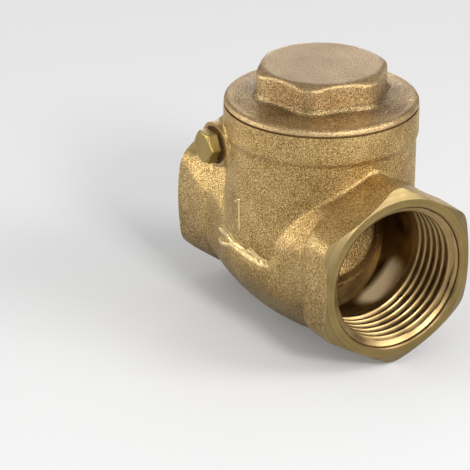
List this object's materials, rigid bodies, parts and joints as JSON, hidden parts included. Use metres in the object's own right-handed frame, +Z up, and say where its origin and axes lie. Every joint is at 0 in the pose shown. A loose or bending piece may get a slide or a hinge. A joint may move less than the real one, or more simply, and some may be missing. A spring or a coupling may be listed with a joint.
{
  "type": "swing non-return valve",
  "caption": "Brass swing non-return valve with hexagonal female threaded ends, an upright round barrel, a screwed hexagonal cap and a hinged clapper that closes against an inclined seat.",
  "frame": {"origin": "centre of the inlet end face, on the port axis", "axes": "+X along the flow from the inlet to the outlet, +Z up along the barrel towards the cap, +Y to the side away from the hinge pin's plug screw"},
  "size_m": [0.0648, 0.0474, 0.0624],
  "materials": {
    "forged_brass": "grit-blasted, satin, with turned and tapped ends",
    "cap_brass": "grit-blasted, satin",
    "clapper_brass": "grit-blasted, turned rim",
    "turned_brass": "turned, smooth",
    "pin_steel": "drawn bar, smooth",
    "gasket_fibre": "pressed fibre sheet, matt",
    "seal_rubber": "moulded, matt"
  },
  "bodies": {
    "valve_body": {"body": "forged_brass", "hinge_pin": "pin_steel", "pin_plug": "turned_brass", "plug_washer": "seal_rubber"},
    "gasket": {"cap_gasket": "gasket_fibre"},
    "cap": {"cap": "cap_brass"},
    "clapper": {"clapper": "clapper_brass", "disc_seal": "seal_rubber", "seal_retainer": "turned_brass", "retainer_nut": "turned_brass"}
  },
  "joints": [
    {"name": "clapper_swing", "type": "hinge", "parent": "valve_body", "child": "clapper", "pos_m": [0.0219, 0, 0.0216], "axis": [0, -1, 0], "range_deg": [0, 28]},
    {"name": "cap_lift", "type": "slide", "parent": "valve_body", "child": "gasket", "axis": [0, 0, 1], "range_m": [0, 0.0055]},
    {"name": "cap_turn", "type": "hinge", "parent": "gasket", "child": "cap", "pos_m": [0.0324, 0, 0.0317], "axis": [0, 0, 1], "range_deg": [0, 1310]}
  ],
  "couplings": [
    {"joint": "cap_lift", "follows": "cap_turn", "m_per_rad": 0.00023873}
  ]
}
